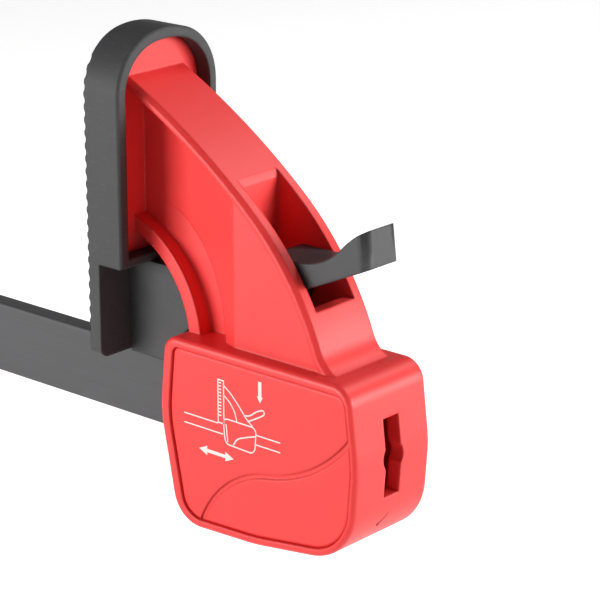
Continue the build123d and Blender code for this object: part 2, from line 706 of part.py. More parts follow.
def make_drive_plate():
    """The steel plate that grips the bar and pulls it back when the trigger is squeezed."""
    plate = block(drive_face, drive_face + DRIVE_T, -DRIVE_HALF, DRIVE_HALF, DRIVE_LOW, BAR_H + DRIVE_RISE)
    plate = fillet(plate.edges().filter_by(Axis.X), DRIVE_EDGE_R)
    return plate - bar_slot(drive_face - 1, drive_face + DRIVE_T + 1)


def make_drive_spring():
    """The wide return spring wound round the bar behind the drive plate."""
    start = drive_face + DRIVE_T + FIT
    spring = coil(drive_spring_r - DRIVE_WIRE, DRIVE_WIRE, DRIVE_TURNS, start, SPRING_RIB_X - start - FIT)
    return Pos(0, 0, bar_mid) * spring


def make_brake_plate():
    """The tilted steel plate that stops the bar from running out again, with a tab on top."""
    x0, pivot_z = BRAKE_PIVOT
    plate = block(x0, x0 + BRAKE_T, -BRAKE_HALF, BRAKE_HALF, BRAKE_LOW, BAR_H + BRAKE_SHOULDER)
    plate = fillet(plate.edges().filter_by(Axis.X), LOCK_EDGE_R)
    plate += block(x0, x0 + BRAKE_T, -BRAKE_TAB_HALF, BRAKE_TAB_HALF, BAR_H + BRAKE_SHOULDER / 2, brake_top)
    drop = BRAKE_T * sin(radians(BRAKE_TILT))
    low, high = -BAR_PLAY - drop, BAR_H + 2 * BAR_PLAY
    plate -= block(x0 - 1, x0 + BRAKE_T + 1, -slot_t / 2, slot_t / 2, low, high)
    return tilted(plate, BRAKE_PIVOT, -BRAKE_TILT)


def make_brake_cap():
    """The moulded thumb cap on the brake plate's tab."""
    x0 = BRAKE_PIVOT[0]
    half = BRAKE_TAB_HALF + CAP_WALL
    cap = block(x0 - CAP_WALL, x0 + BRAKE_T + CAP_WALL, -half, half, cap_low, brake_top + CAP_WALL)
    cap = fillet(cap.edges().filter_by(Axis.Y).group_by(Axis.Z)[-1], CAP_EDGE_R)
    cap -= block(x0, x0 + BRAKE_T, -BRAKE_TAB_HALF, BRAKE_TAB_HALF, cap_low - 1, brake_top)
    return tilted(cap, BRAKE_PIVOT, -BRAKE_TILT)


def make_brake_spring():
    """The small spring between the brake plate and the housing's rear wall."""
    lift = brake_spring_z - BRAKE_PIVOT[1]
    start = BRAKE_PIVOT[0] + BRAKE_T - lift * sin(radians(BRAKE_TILT)) + GAP
    spring = coil(SPRING_R - SPRING_WIRE, SPRING_WIRE, BRAKE_TURNS, start, BRAKE_SPRING_SEAT - start)
    return Pos(0, 0, brake_spring_z) * spring


def facing(part):
    """Turn a piece of the trigger head round to face the release head across the opening."""
    return Pos(-OPENING, 0, 0) * Rot(0, 0, 180) * part


grip_pad = make_handle_grip()
shell_low_y, shell_high_y = make_trigger_shells(grip_pad)

release_pieces = {
    "bar": make_bar(),
    "stop_pin_front": make_stop_pin(stop_pin_x),
    "stop_pin_tail": make_stop_pin(bar_start + PIN_FROM_END),
    "release_jaw_pad": make_jaw_pad(),
    "release_guide_shoe": make_guide_shoe(box_outline()),
    "head_body": make_head_body(),
    "side_cover_near": make_side_cover(True),
    "side_cover_far": make_side_cover(False),
    "release_lever": make_release_lever(),
    "release_lever_pin": make_lever_pin(),
    "lock_plate_front": make_lock_plate(0),
    "lock_plate_rear": make_lock_plate(1),
    "lock_spring": make_lock_spring(),
}
trigger_pieces = {
    "trigger_jaw_pad": make_jaw_pad(),
    "trigger_guide_shoe": make_guide_shoe(housing_outline()),
    "trigger_shell_near": shell_high_y,
    "trigger_shell_far": shell_low_y,
    "shell_screws": make_trigger_screws(),
    "handle_grip": grip_pad,
    "trigger": make_trigger(),
    "trigger_pin": make_trigger_pin(),
    "drive_plate": make_drive_plate(),
    "drive_spring": make_drive_spring(),
    "brake_plate": make_brake_plate(),
    "brake_cap": make_brake_cap(),
    "brake_spring": make_brake_spring(),
}

os.makedirs("parts", exist_ok=True)
to_origin = Pos(0, 0, -jaw_middle)
for name, piece in release_pieces.items():
    export_step(to_origin * piece, f"parts/{name}.step")
for name, piece in trigger_pieces.items():
    export_step(to_origin * facing(piece), f"parts/{name}.step")
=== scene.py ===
import json
from math import pi, radians

import bmesh
import bpy
import numpy as np
from bpy.props import FloatProperty, FloatVectorProperty, PointerProperty
from mathutils import Matrix, Vector


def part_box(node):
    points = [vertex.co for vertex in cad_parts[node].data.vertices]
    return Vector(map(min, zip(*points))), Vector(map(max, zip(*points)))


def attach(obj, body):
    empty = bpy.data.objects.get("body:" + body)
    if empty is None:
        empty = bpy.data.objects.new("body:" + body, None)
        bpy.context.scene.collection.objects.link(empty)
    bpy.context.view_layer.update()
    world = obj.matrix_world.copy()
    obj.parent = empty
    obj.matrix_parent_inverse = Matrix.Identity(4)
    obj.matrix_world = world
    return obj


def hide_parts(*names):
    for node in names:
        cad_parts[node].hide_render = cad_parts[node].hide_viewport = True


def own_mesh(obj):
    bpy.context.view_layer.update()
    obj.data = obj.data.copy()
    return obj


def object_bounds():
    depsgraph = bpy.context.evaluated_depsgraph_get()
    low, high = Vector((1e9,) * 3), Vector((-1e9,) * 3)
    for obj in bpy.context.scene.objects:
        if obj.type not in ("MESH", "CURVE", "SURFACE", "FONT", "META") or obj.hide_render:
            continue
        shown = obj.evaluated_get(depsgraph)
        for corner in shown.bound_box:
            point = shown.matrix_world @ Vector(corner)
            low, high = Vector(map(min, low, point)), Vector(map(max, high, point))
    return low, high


bl_info = {
    "name": "Bar clamp looks",
    "version": (1, 0, 0),
    "blender": (4, 5, 0),
    "location": "View3D > Sidebar > Bar clamp",
    "description": "Finishes, fine detail and studio for a quick release bar clamp",
    "category": "Object",
}

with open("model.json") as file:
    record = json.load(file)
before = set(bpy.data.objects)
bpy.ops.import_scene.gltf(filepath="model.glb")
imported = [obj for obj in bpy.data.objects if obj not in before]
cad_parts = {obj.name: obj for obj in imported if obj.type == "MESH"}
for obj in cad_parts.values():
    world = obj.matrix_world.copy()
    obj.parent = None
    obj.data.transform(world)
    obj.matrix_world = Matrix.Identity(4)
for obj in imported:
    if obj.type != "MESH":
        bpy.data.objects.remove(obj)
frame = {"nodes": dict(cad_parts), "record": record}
cad_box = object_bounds()
nodes = frame["nodes"]

MM = 0.001
BAR_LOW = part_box("bar")[0].z
COVER_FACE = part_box("side_cover_near")[0].y

# How far ink and marks stand off the surface that they lie on
LIFT = 0.02 * MM

# The box's rear face: its flat part starts and ends at this y either way, and lies past this x
REAR_HALF = 14.3 * MM
REAR_FROM = 88 * MM
REAR_NEAR = 0.05 * MM

# The thumb lever's tail: its corners' radius, the direction square to its end, and the cuts along that radius
LEVER_TAIL_R = 3.0 * MM
LEVER_END_SQUARE = (10.2, 0.0, 1.2)
LEVER_CUTS = (0.02, 0.08, 0.18, 0.32, 0.5, 0.75, 1.0)
MERGE = 0.001 * MM

# Each spring's node, its wire's radius in millimetres, its turns, the body that it rides on, the joint that
# presses it together, whether its still end is the high one along x, and the share of its length that is left
SPRINGS = (
    ("lock_spring", 0.45, 6, "release_head", "release_lever_press", True, 0.83),
    ("drive_spring", 0.8, 4, "trigger_head", "trigger_squeeze", False, 0.58),
    ("brake_spring", 0.45, 4, "trigger_head", "brake_release", False, 0.75),
)

SPRING_STEPS = 24
SPRING_CROWD = 0.6

# Screws, in millimetres: the middle of the seat under each head, then the y of all their tips
SCREW_SEATS = ((-180.2, 14.0, -42.0), (-247.5, 14.0, -76.5), (-206.0, 8.5, -17.5), (-242.0, 12.0, -133.5))
SCREW_TIP = -8.0
SCREW_R = 1.6
SCREW_HEAD_R = 2.8
SCREW_HEAD_T = 2.0
SCREW_RIM_R = 0.5
SCREW_CROSS_R = 0.62 * SCREW_HEAD_R
SCREW_CROSS_DEEP = 0.9
SCREW_SIDES = 48

# Floor, in metres: where its border starts and ends, how steeply it rises, and its gap under the clamp
FLOOR_FLAT_R = 2.2
FLOOR_END_R = 3.2
FLOOR_RISE = 0.8
FLOOR_SIDES = 64
FLOOR_GAP = 0.1 * MM
FLOOR_GLOW = 0.6

# Light and camera, in metres, watts and degrees
WORLD_LIGHT = 0.15
LAMP_AIM = (0.06, 0.0, -0.02)
LAMPS = (
    ("lamp_side", (-0.60, -1.22, 0.10), (0.9, 0.45), 19.0),
    ("lamp_end", (1.20, 0.65, 0.20), (0.9, 0.45), 20.0),
    ("lamp_back", (0.40, 0.80, 1.0), (0.6, 0.4), 6.0),
)
CAMERA_SPOT = (0.4660, -0.4635, 0.1810)
CAMERA_TURN = 41.12
CAMERA_DIP = 18.24
CAMERA_LENS = 144.0


class Socket:
    """An output socket whose arithmetic adds Math nodes to its own node tree."""

    def __init__(self, finish, socket):
        self.finish = finish
        self.socket = socket

    def _math(self, operation, *values):
        return self.finish.node("ShaderNodeMath", {"operation": operation}, values)

    def __add__(self, other):
        return self._math("ADD", self, other)

    def __radd__(self, other):
        return self._math("ADD", other, self)

    def __mul__(self, other):
        return self._math("MULTIPLY", self, other)

    def __rmul__(self, other):
        return self._math("MULTIPLY", other, self)

    def clamped(self):
        """The value held between 0 and 1."""
        return self.finish.node("ShaderNodeClamp", {}, (self, 0.0, 1.0))


class Finish:
    """One material, with short calls for the nodes that it is made of."""

    def __init__(self, name):
        self.material = bpy.data.materials.new(name)
        self.material.use_nodes = True
        self.tree = self.material.node_tree
        self.shader = self.tree.nodes["Principled BSDF"]

    def node(self, kind, settings=(), inputs=(), output=0):
        """Adds a node: its settings go on first, then its sockets' values or links, by place or name."""
        made = self.tree.nodes.new(kind)
        for key, value in dict(settings).items():
            if key == "stops":
                self._stops(made.color_ramp, value)
            else:
                setattr(made, key, value)
        pairs = inputs.items() if isinstance(inputs, dict) else enumerate(inputs)
        for key, value in pairs:
            self.feed(made.inputs[key], value)
        return Socket(self, made.outputs[output])

    @staticmethod
    def _stops(ramp, stops):
        for i, (place, value) in enumerate(stops):
            stop = ramp.elements[i] if i < 2 else ramp.elements.new(place)
            stop.position = place
            stop.color = (value, value, value, 1.0)

    def feed(self, socket, value):
        """Links a socket to a Socket, or sets it to a plain value."""
        if isinstance(value, Socket):
            self.tree.links.new(value.socket, socket)
        else:
            socket.default_value = value

    def place(self, scale=(1.0, 1.0, 1.0), turn=(0.0, 0.0, 0.0)):
        """Object coordinates, stretched and turned."""
        where = self.node("ShaderNodeTexCoord", output=3)
        return self.node("ShaderNodeMapping", {}, {"Vector": where, "Scale": scale, "Rotation": turn})

    def noise(self, scale, detail=3.0, where=None, rough=0.55):
        """Smooth noise from 0 to 1, with its scale per metre."""
        inputs = {"Vector": where or self.place(), "Scale": scale, "Detail": detail, "Roughness": rough}
        return self.node("ShaderNodeTexNoise", {}, inputs)

    def wave(self, pitch, where):
        """Bands across the place's x axis, from 0 to 1 and back once for each pitch in metres."""
        settings = {"wave_type": "BANDS", "bands_direction": "X", "wave_profile": "SIN"}
        inputs = {"Vector": where, "Scale": pi / (10.0 * pitch), "Detail": 0.0}
        return self.node("ShaderNodeTexWave", settings, inputs, 1)

    def ramp(self, factor, *stops):
        """The factor passed through a ramp of (place, value) stops."""
        return self.node("ShaderNodeValToRGB", {"stops": stops}, (factor,))

    def mix(self, factor, one, two):
        """A colour between one and two."""
        inputs = {"Factor": factor, 6: one, 7: two}
        return self.node("ShaderNodeMix", {"data_type": "RGBA"}, inputs, 2)

    def seen(self):
        """1 for rays that come from the camera, by a mirror or through glass, and 0 for the others."""
        ways = [self.node("ShaderNodeLightPath", output=output) for output in (0, 3, 6)]
        return (ways[0] + ways[1] + ways[2]).clamped()

    def bump(self, height, depth, edge=0.0):
        """A normal from a height in metres, over edges softened by a small radius."""
        inputs = {"Strength": 1.0, "Distance": depth, "Height": height}
        if edge:
            inputs["Normal"] = self.node("ShaderNodeBevel", {"samples": 6}, {"Radius": edge})
        return self.node("ShaderNodeBump", {}, inputs)

    def finished(self, color, roughness, normal=None, metallic=0.0, **plain):
        """Feeds the shader and gives the material."""
        self.feed(self.shader.inputs["Base Color"], color)
        self.feed(self.shader.inputs["Roughness"], roughness)
        self.feed(self.shader.inputs["Metallic"], metallic)
        if normal:
            self.feed(self.shader.inputs["Normal"], normal)
        for key, value in plain.items():
            self.shader.inputs[key.replace("_", " ")].default_value = value
        return self.material


def shaded(color, factor):
    """A colour made lighter or darker by a factor."""
    return tuple(min(c * factor, 1.0) for c in color[:3]) + (1.0,)


# Finishes


def red_moulding(look, edge):
    """Satin red moulded plastic: faint flow clouds, a fine spark texture and soft edges."""
    finish = Finish("red moulding")
    clouds = finish.noise(28.0, 2.0)
    flow = finish.noise(90.0, 3.0, finish.place((0.35, 1.0, 1.0)))
    tone = (clouds * 0.7 + flow * 0.3).clamped()
    color = finish.mix(tone, shaded(look.red, 0.92), shaded(look.red, 1.06))
    grain = finish.noise(2600.0, 2.0)
    upright = finish.noise(700.0, 2.0, finish.place((1.0, 1.0, 0.12)))
    scuffs = finish.ramp(upright, (0.68, 0.0), (0.8, 1.0))
    roughness = 0.36 + 0.08 * flow + 0.10 * scuffs
    normal = finish.bump(grain, 0.02 * MM, edge)
    return finish.finished(color, roughness, normal, Specular_IOR_Level=0.35)


def black_rubber(look, edge):
    """Matt black rubber with a dull bloom, a fine grain and faint streaks rubbed along the mould."""
    finish = Finish("black rubber")
    bloom = finish.noise(45.0, 4.0)
    level = finish.noise(240.0, 3.0, finish.place((1.0, 1.0, 5.0)))
    streaks = finish.ramp(level, (0.56, 0.0), (0.80, 1.0))
    tone = (bloom * 0.55 + streaks * 0.45).clamped()
    color = finish.mix(tone, shaded(look.rubber, 0.75), shaded(look.rubber, 1.45))
    grain = finish.noise(1900.0, 4.0)
    normal = finish.bump(grain * 0.6 + streaks * 0.8, 0.05 * MM, edge)
    return finish.finished(color, 0.50 + 0.14 * bloom, normal, Specular_IOR_Level=0.22)


def grip_rubber(look, edge):
    """The handle's rubber: the same black, with two sets of slanting grooves that leave diamonds."""
    finish = Finish("grip rubber")
    bloom = finish.noise(60.0, 3.0)
    color = finish.mix(bloom, shaded(look.rubber, 0.8), shaded(look.rubber, 1.3))
    rise, fall = [
        finish.wave(2.4 * MM, finish.place(turn=(0.0, radians(slant), 0.0))) for slant in (32.0, -32.0)
    ]
    diamonds = finish.ramp(rise, (0.05, 0.0), (0.28, 1.0)) * finish.ramp(fall, (0.05, 0.0), (0.28, 1.0))
    normal = finish.bump(diamonds + 0.08 * finish.noise(1900.0, 3.0), 0.3 * MM, edge)
    return finish.finished(color, 0.62 + 0.1 * bloom, normal, Specular_IOR_Level=0.22)


def dark_moulding(look, edge):
    """Dark glass-filled plastic: cloudy tone, a spark texture and a few longer fibres."""
    finish = Finish("dark moulding")
    clouds = finish.noise(60.0, 3.0)
    long = finish.noise(900.0, 2.0, finish.place((0.2, 1.0, 1.0)))
    fibres = finish.ramp(long, (0.60, 0.0), (0.78, 1.0))
    tone = (clouds * 0.8 + fibres * 0.3).clamped()
    color = finish.mix(tone, shaded(look.dark, 0.8), shaded(look.dark, 1.3))
    normal = finish.bump(finish.noise(2200.0, 3.0), 0.04 * MM, edge)
    return finish.finished(color, 0.42 + 0.12 * clouds, normal, Specular_IOR_Level=0.3)


def ribbed_moulding(look, edge):
    """The guide shoes' dark plastic, drawn into fine level lines by the mould."""
    finish = Finish("ribbed moulding")
    clouds = finish.noise(70.0, 3.0)
    color = finish.mix(clouds, shaded(look.dark, 0.75), shaded(look.dark, 1.2))
    lines = finish.wave(0.8 * MM, finish.place(turn=(0.0, radians(90.0), 0.0)))
    normal = finish.bump(lines * 0.5 + finish.noise(1500.0, 3.0) * 0.5, 0.06 * MM, edge)
    return finish.finished(color, 0.46 + 0.12 * clouds, normal, Specular_IOR_Level=0.3)


def black_steel(look, edge):
    """Blackened flat steel: drawn lines along the bar, thin patches and paler rubbed spots."""
    finish = Finish("black steel")
    drawn = finish.noise(1400.0, 2.0, finish.place((0.01, 1.0, 1.0)))
    patches = finish.noise(35.0, 4.0, finish.place((0.4, 1.0, 1.0)))
    spots = finish.noise(120.0, 5.0, finish.place((0.3, 1.0, 1.0)))
    rubbed = finish.ramp(spots, (0.60, 0.0), (0.85, 1.0))
    tone = (drawn * 0.35 + patches * 0.35 + rubbed * 0.4).clamped()
    color = finish.mix(tone, shaded(look.bar, 0.78), shaded(look.bar, 1.35))
    normal = finish.bump(drawn, 0.012 * MM, edge)
    return finish.finished(color, 0.42 + 0.12 * patches, normal, Specular_IOR_Level=0.3)


def plain_steel(look, edge):
    """Bright plated steel of pins, plates, screws and springs: a fine crystal patchwork and dull spots."""
    finish = Finish("plain steel")
    patches = finish.noise(220.0, 3.0)
    dull = finish.ramp(finish.noise(90.0, 4.0), (0.52, 0.0), (0.72, 1.0))
    tone = (patches * 0.7 + dull * 0.3).clamped()
    color = finish.mix(tone, shaded(look.steel, 1.1), shaded(look.steel, 0.8))
    roughness = 0.26 + 0.14 * patches + 0.14 * dull
    return finish.finished(color, roughness, finish.bump(patches, 0.01 * MM, edge), 0.9)


def white_ink(look):
    """The flat off-white ink of the printed sketch, a little worn."""
    finish = Finish("white ink")
    wear = finish.noise(900.0, 3.0)
    color = finish.mix(wear, shaded(look.ink, 0.92), shaded(look.ink, 1.0))
    return finish.finished(color, 0.55 + 0.1 * wear)


def gate_scar(look):
    """The torn, darker red plastic that a mould's gate leaves."""
    finish = Finish("gate scar")
    torn = finish.noise(1500.0, 4.0)
    color = finish.mix(torn, shaded(look.red, 0.06), shaded(look.red, 0.24))
    return finish.finished(color, 0.7 + 0.2 * torn, finish.bump(torn, 0.1 * MM), Specular_IOR_Level=0.1)


# Meshes


def add_piece(name, vertices, faces, material, body, smooth=True, solid=False):
    """Puts worked-out vertices and faces into a mesh in place, and lets it ride on a body."""
    mesh = bpy.data.meshes.new(name)
    mesh.from_pydata(np.asarray(vertices, float).tolist(), [], [list(map(int, f)) for f in faces])
    mesh.materials.append(material)
    if solid:
        shape = bmesh.new()
        shape.from_mesh(mesh)
        bmesh.ops.recalc_face_normals(shape, faces=shape.faces)
        shape.to_mesh(mesh)
        shape.free()
    mesh.polygons.foreach_set("use_smooth", np.full(len(mesh.polygons), smooth))
    mesh.validate()
    piece = bpy.data.objects.new(name, mesh)
    bpy.context.scene.collection.objects.link(piece)
    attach(piece, body)
    return piece


def joined(parts):
    """The vertices and faces of several meshes as one."""
    starts = np.cumsum([0] + [len(vertices) for vertices, faces in parts])
    vertices = np.concatenate([vertices for vertices, faces in parts])
    faces = [[v + start for v in face] for (_, group), start in zip(parts, starts) for face in group]
    return vertices, faces


def tube(path, outward, radius, ring=10):
    """A round wire: circles of a radius about a path, P + r (cos v N + sin v B), with both ends closed.

    N is the outward direction made square to the path, and B is square to both."""
    along = np.gradient(path, axis=0)
    along /= np.linalg.norm(along, axis=1, keepdims=True)
    side = outward - (outward * along).sum(axis=1, keepdims=True) * along
    side /= np.linalg.norm(side, axis=1, keepdims=True)
    other = np.cross(along, side)
    angle = np.linspace(0, 2 * pi, ring, endpoint=False)[None, :, None]
    points = path[:, None] + radius * (np.cos(angle) * side[:, None] + np.sin(angle) * other[:, None])
    count = len(path) * ring
    ends = [list(range(ring)), list(range(count - ring, count))]
    return points.reshape(-1, 3), grid_faces(len(path), ring, wrap_columns=True).tolist() + ends


def spring_path(low, high, wire, turns):
    """The middle of a compression spring's wire inside a box, along x, wound closer at both ends.

    With t from 0 to 1, x runs as t - crowd sin(2 pi t) / (2 pi), and the angle as 2 pi turns t."""
    middle = (low + high) / 2
    radius = (high[1:] - low[1:]).min() / 2 - wire
    t = np.linspace(0, 1, turns * SPRING_STEPS + 1)
    run = t - SPRING_CROWD * np.sin(2 * pi * t) / (2 * pi)
    x = low[0] + wire + (high[0] - low[0] - 2 * wire) * run
    angle = 2 * pi * turns * t
    outward = np.stack([0 * t, np.cos(angle), np.sin(angle)], axis=1)
    path = np.stack([x, middle[1] + 0 * t, middle[2] + 0 * t], axis=1) + radius * outward
    return path, outward


def screw(x, seat, z):
    """A screw along y as rows of circles: a flat tip, a shank, a head with a cut rim and a cross recess.

    The recess is a row of radius cross (0.35 + 0.65 |cos 2v|^4), sunk below the head's face."""
    angle = np.linspace(0, 2 * pi, SCREW_SIDES, endpoint=False)
    face = seat + SCREW_HEAD_T
    cross = SCREW_CROSS_R * (0.35 + 0.65 * np.abs(np.cos(2 * angle)) ** 4)
    rows = [
        (0.55 * SCREW_R, SCREW_TIP),
        (SCREW_R, SCREW_TIP + 1.2),
        (SCREW_R, seat),
        (SCREW_HEAD_R, seat),
        (SCREW_HEAD_R, face - SCREW_RIM_R),
        (SCREW_HEAD_R - SCREW_RIM_R, face),
        (cross, face),
        (0.8 * cross, face - SCREW_CROSS_DEEP),
        (0.05, face - SCREW_CROSS_DEEP - 0.2),
    ]
    radii = np.stack([radius + 0 * angle for radius, y in rows])
    heights = np.array([y for radius, y in rows])[:, None] + 0 * radii
    points = np.stack([x + radii * np.cos(angle), heights, z + radii * np.sin(angle)], axis=2)
    last = (len(rows) - 1) * SCREW_SIDES
    ends = [list(range(SCREW_SIDES)), list(range(last, last + SCREW_SIDES))]
    return points.reshape(-1, 3) * MM, grid_faces(len(rows), SCREW_SIDES, wrap_columns=True).tolist() + ends


def grid_faces(rows, columns, wrap_rows=False, wrap_columns=False):
    """Quads of a grid of rows by columns, joined round where a side wraps."""
    last_row = rows if wrap_rows else rows - 1
    last_column = columns if wrap_columns else columns - 1
    i, j = np.meshgrid(np.arange(last_row), np.arange(last_column), indexing="ij")
    down, right = (i + 1) % rows, (j + 1) % columns
    quads = [i * columns + j, i * columns + right, down * columns + right, down * columns + j]
    return np.stack([q.ravel() for q in quads], axis=1)


def ribbon(points, width, closed=False):
    """A flat band along a line: each point goes half the width to both sides, square to its neighbours.

    At a bend it goes further, by one over the cosine of half the turn."""
    points = np.asarray(points, float)
    ahead = np.roll(points, -1, axis=0) - points
    behind = points - np.roll(points, 1, axis=0)
    if not closed:
        ahead[-1], behind[0] = behind[-1], ahead[0]
    ahead /= np.linalg.norm(ahead, axis=1, keepdims=True)
    behind /= np.linalg.norm(behind, axis=1, keepdims=True)
    along = ahead + behind
    along /= np.linalg.norm(along, axis=1, keepdims=True)
    spread = width / 2 / np.clip((along * ahead).sum(axis=1, keepdims=True), 0.5, 1.0)
    square = np.stack([-along[:, 1], along[:, 0]], axis=1) * spread
    both = np.stack([points + square, points - square], axis=1)
    return both.reshape(-1, 2), grid_faces(len(points), 2, wrap_rows=closed)


def arc(centre, radius, start, end, steps=12):
    """Points of a circle's arc between two angles in degrees."""
    angle = np.radians(np.linspace(start, end, steps))
    return np.stack([centre[0] + radius * np.cos(angle), centre[1] + radius * np.sin(angle)], axis=1)


def curve_through(*points, steps=10):
    """A smooth line through points: between two of them, a cubic with the slopes of their neighbours."""
    p = np.asarray(points, float)
    slopes = np.gradient(p, axis=0)
    t = np.linspace(0, 1, steps, endpoint=False)[None, :, None]
    a, b = p[:-1, None], p[1:, None]
    m, n = slopes[:-1, None], slopes[1:, None]
    curve = (2 * t**3 - 3 * t**2 + 1) * a + (t**3 - 2 * t**2 + t) * m
    curve = curve + (3 * t**2 - 2 * t**3) * b + (t**3 - t**2) * n
    return np.concatenate([curve.reshape(-1, 2), p[-1:]])


# Pieces and their operators


class Looks(bpy.types.PropertyGroup):
    """Colours and small sizes that a user would change."""

    red: FloatVectorProperty(
        name="Red",
        description="Colour of the red mouldings",
        subtype="COLOR",
        default=(0.80, 0.040, 0.038),
    )
    rubber: FloatVectorProperty(
        name="Rubber",
        description="Colour of the pads and grips",
        subtype="COLOR",
        default=(0.056, 0.056, 0.058),
    )
    dark: FloatVectorProperty(
        name="Dark plastic",
        description="Colour of lever, trigger and shoes",
        subtype="COLOR",
        default=(0.048, 0.048, 0.050),
    )
    bar: FloatVectorProperty(
        name="Bar",
        description="Colour of the blackened bar",
        subtype="COLOR",
        default=(0.065, 0.065, 0.068),
    )
    steel: FloatVectorProperty(
        name="Steel",
        description="Colour of pins, plates and screws",
        subtype="COLOR",
        default=(0.55, 0.55, 0.56),
    )
    ink: FloatVectorProperty(
        name="Ink",
        description="Colour of the printed sketch",
        subtype="COLOR",
        default=(0.92, 0.72, 0.68),
    )
    edge: FloatProperty(
        name="Edge",
        description="Radius that softens moulded edges",
        subtype="DISTANCE",
        default=1.0 * MM,
    )
    line: FloatProperty(
        name="Line",
        description="Width of the printed lines",
        subtype="DISTANCE",
        default=0.38 * MM,
    )


class CLAMP_OT_finishes(bpy.types.Operator):
    """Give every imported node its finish"""

    bl_idname = "clamp.finishes"
    bl_label = "Finishes"

    def execute(self, context):
        look = context.scene.clamp_looks
        slots = {
            "red_moulding": red_moulding(look, look.edge),
            "black_rubber": black_rubber(look, look.edge),
            "dark_moulding": dark_moulding(look, look.edge),
            "black_moulding": dark_moulding(look, look.edge),
            "black_steel": black_steel(look, look.edge / 2),
            "plain_steel": plain_steel(look, look.edge / 4),
        }
        ribbed = ribbed_moulding(look, look.edge)
        own = {
            "release_guide_shoe": ribbed,
            "trigger_guide_shoe": ribbed,
            "handle_grip": grip_rubber(look, look.edge),
        }
        for part in frame["record"]["subparts"]:
            mesh = nodes[part["node"]].data
            mesh.materials.clear()
            mesh.materials.append(own.get(part["node"]) or slots[part["material_slot"]])
        return {"FINISHED"}


class CLAMP_OT_side_print(bpy.types.Operator):
    """Print a plain sketch of the clamp and its arrows on the near cover"""

    bl_idname = "clamp.side_print"
    bl_label = "Side print"

    def execute(self, context):
        look = context.scene.clamp_looks
        add_print(look.line, white_ink(look))
        return {"FINISHED"}


def on_cover(flat):
    """Points of the side view, in millimetres back and up from the bar, set on the near cover's face."""
    flat = np.asarray(flat, float)
    y = np.full(len(flat), COVER_FACE - LIFT)
    return np.stack([flat[:, 0] * MM, y, BAR_LOW + flat[:, 1] * MM], axis=1)


def add_print(line, ink):
    """The sketch: a bar, this clamp's jaw, arm, lever and box in outline, a push arrow and a two-way arrow.

    Lines and loops are ribbons, in millimetres back and up from the bar, and the arrows are filled."""
    ticks = [[(45.2, z), (46.3, z)] for z in np.arange(15.0, 24.9, 0.95)]
    strokes = ticks + [
        [(32.2, 12.5), (45.0, 12.5)],
        [(32.2, 9.7), (46.9, 9.7)],
        [(59.0, 12.5), (67.8, 12.5)],
        [(58.8, 9.7), (67.8, 9.7)],
        curve_through((47.2, 24.1), (50.2, 21.9), (53.2, 18.9), (55.6, 16.3), (57.8, 14.7)),
        curve_through((47.2, 21.2), (49.4, 19.6), (51.2, 17.2), (52.0, 14.6)),
        curve_through((48.0, 12.9), (48.3, 10.4), (48.6, 7.9)),
        curve_through((58.8, 12.0), (55.4, 10.9), (52.2, 9.5), (50.6, 7.4)),
        curve_through(
            (54.9, 17.1), (56.8, 17.6), (59.4, 19.4), (61.6, 20.2), (61.9, 19.1), (59.6, 17.6), (56.4, 15.9)
        ),
    ]
    loops = [
        [(45.1, 12.8), (47.2, 12.8), (47.2, 25.3), (45.1, 25.3)],
        np.concatenate([
            arc((57.4, 12.9), 1.6, 80, 5, 6), arc((56.6, 8.9), 2.1, 0, -80, 6),
            arc((49.2, 8.8), 1.7, 260, 190, 6), arc((48.6, 12.9), 1.6, 170, 95, 6),
        ]),
    ]
    ribbons = [ribbon(stroke, line / MM) for stroke in strokes]
    ribbons += [ribbon(loop, line / MM, True) for loop in loops]
    push = [(59.9, 28.2), (59.9, 23.9), (59.4, 23.9), (60.5, 22.1), (61.6, 23.9), (61.1, 23.9), (61.1, 28.2)]
    half = [(37.7, 3.3), (40.8, 1.9), (40.8, 2.8), (44.2, 2.8), (44.2, 3.8), (40.8, 3.8), (40.8, 4.7)]
    other = [(2 * 44.2 - x, z) for x, z in half[::-1]]
    arrows = [(arrow, [range(len(arrow))]) for arrow in (push, half, other)]
    flat, faces = joined(ribbons + arrows)
    piece = add_piece("side_print", on_cover(flat), faces, ink, "release_head", False)


class CLAMP_OT_gate_mark(bpy.types.Operator):
    """Leave the mould's torn gate mark under the bar's way in the box's rear face"""

    bl_idname = "clamp.gate_mark"
    bl_label = "Gate mark"

    def execute(self, context):
        add_gate_mark(gate_scar(context.scene.clamp_looks))
        return {"FINISHED"}


def add_gate_mark(scar):
    """A thin streak that widens into a torn spot, laid on the rear face.

    Its x at a height is that of the line where the flat of the face meets its rim, at the same height."""
    mesh = nodes["head_body"].data
    corners = np.empty(len(mesh.vertices) * 3)
    mesh.vertices.foreach_get("co", corners)
    corners = corners.reshape(-1, 3)
    on_rim = np.abs(np.abs(corners[:, 1]) - REAR_HALF) < REAR_NEAR
    rear = corners[on_rim & (corners[:, 0] > REAR_FROM)]
    rear = rear[np.argsort(rear[:, 2])]
    line = curve_through((0.1, -5.3), (-0.9, -6.6), (-1.9, -7.5), (-2.7, -8.0), (-3.3, -8.7), steps=6)
    part = np.linspace(0, 1, len(line))
    width = np.interp(part, [0, 0.5, 0.78, 0.92, 1], [0.2, 0.45, 0.5, 1.5, 0.9])
    flat, faces = ribbon(line, 1.0)
    middle = np.repeat(line, 2, axis=0)
    flat = middle + (flat - middle) * np.repeat(width, 2)[:, None]
    z = BAR_LOW + flat[:, 1] * MM
    x = np.interp(z, rear[:, 2], rear[:, 0]) + LIFT
    corners = np.stack([x, flat[:, 0] * MM, z], axis=1)
    piece = add_piece("gate_mark", corners, faces, scar, "release_head", False)


